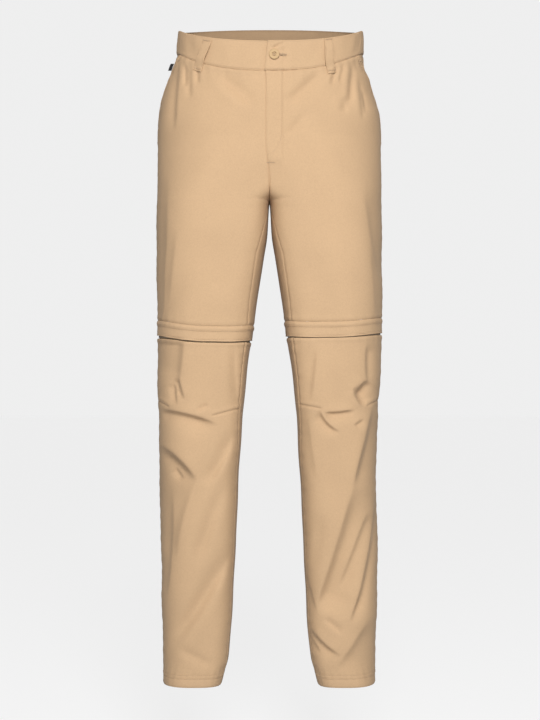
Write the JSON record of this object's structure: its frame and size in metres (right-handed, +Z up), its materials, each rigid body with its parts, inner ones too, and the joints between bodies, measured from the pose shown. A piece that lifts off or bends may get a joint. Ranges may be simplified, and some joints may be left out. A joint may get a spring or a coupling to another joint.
{
  "type": "outdoor trousers",
  "caption": "Long outdoor trousers in worn form, with waistband, belt loops, button, slanted pockets and covered leg zips above the knee.",
  "frame": {"origin": "middle of the waist, level with the waistband's top edge at the sides", "axes": "+Z up, the front faces -Y, the wearer's left leg lies towards +X"},
  "size_m": [0.3657, 0.247, 1.0745],
  "materials": {
    "tan_cloth": "matt woven",
    "tan_zip_tape": "matt woven tape",
    "tan_button": "satin",
    "dark_tape": "matt woven tape"
  },
  "bodies": {
    "root": {"waistband_front_right": "tan_cloth", "waistband_front_left": "tan_cloth", "waistband_back": "tan_cloth", "front_upper_right": "tan_cloth", "back_upper_right": "tan_cloth", "pocket_facing_right": "tan_cloth", "zip_flap_right": "tan_cloth", "front_upper_left": "tan_cloth", "back_upper_left": "tan_cloth", "pocket_facing_left": "tan_cloth", "zip_flap_left": "tan_cloth", "front_lower_right": "tan_cloth", "back_lower_right": "tan_cloth", "front_lower_left": "tan_cloth", "back_lower_left": "tan_cloth", "belt_loop_front_right": "tan_cloth", "belt_loop_front_left": "tan_cloth", "belt_loop_side_back_right": "tan_cloth", "belt_loop_side_back_left": "tan_cloth", "belt_loop_centre_back": "tan_cloth", "zip_tape_right": "tan_zip_tape", "zip_tape_left": "tan_zip_tape", "waist_button": "tan_button", "side_tab": "dark_tape"}
  },
  "joints": []
}
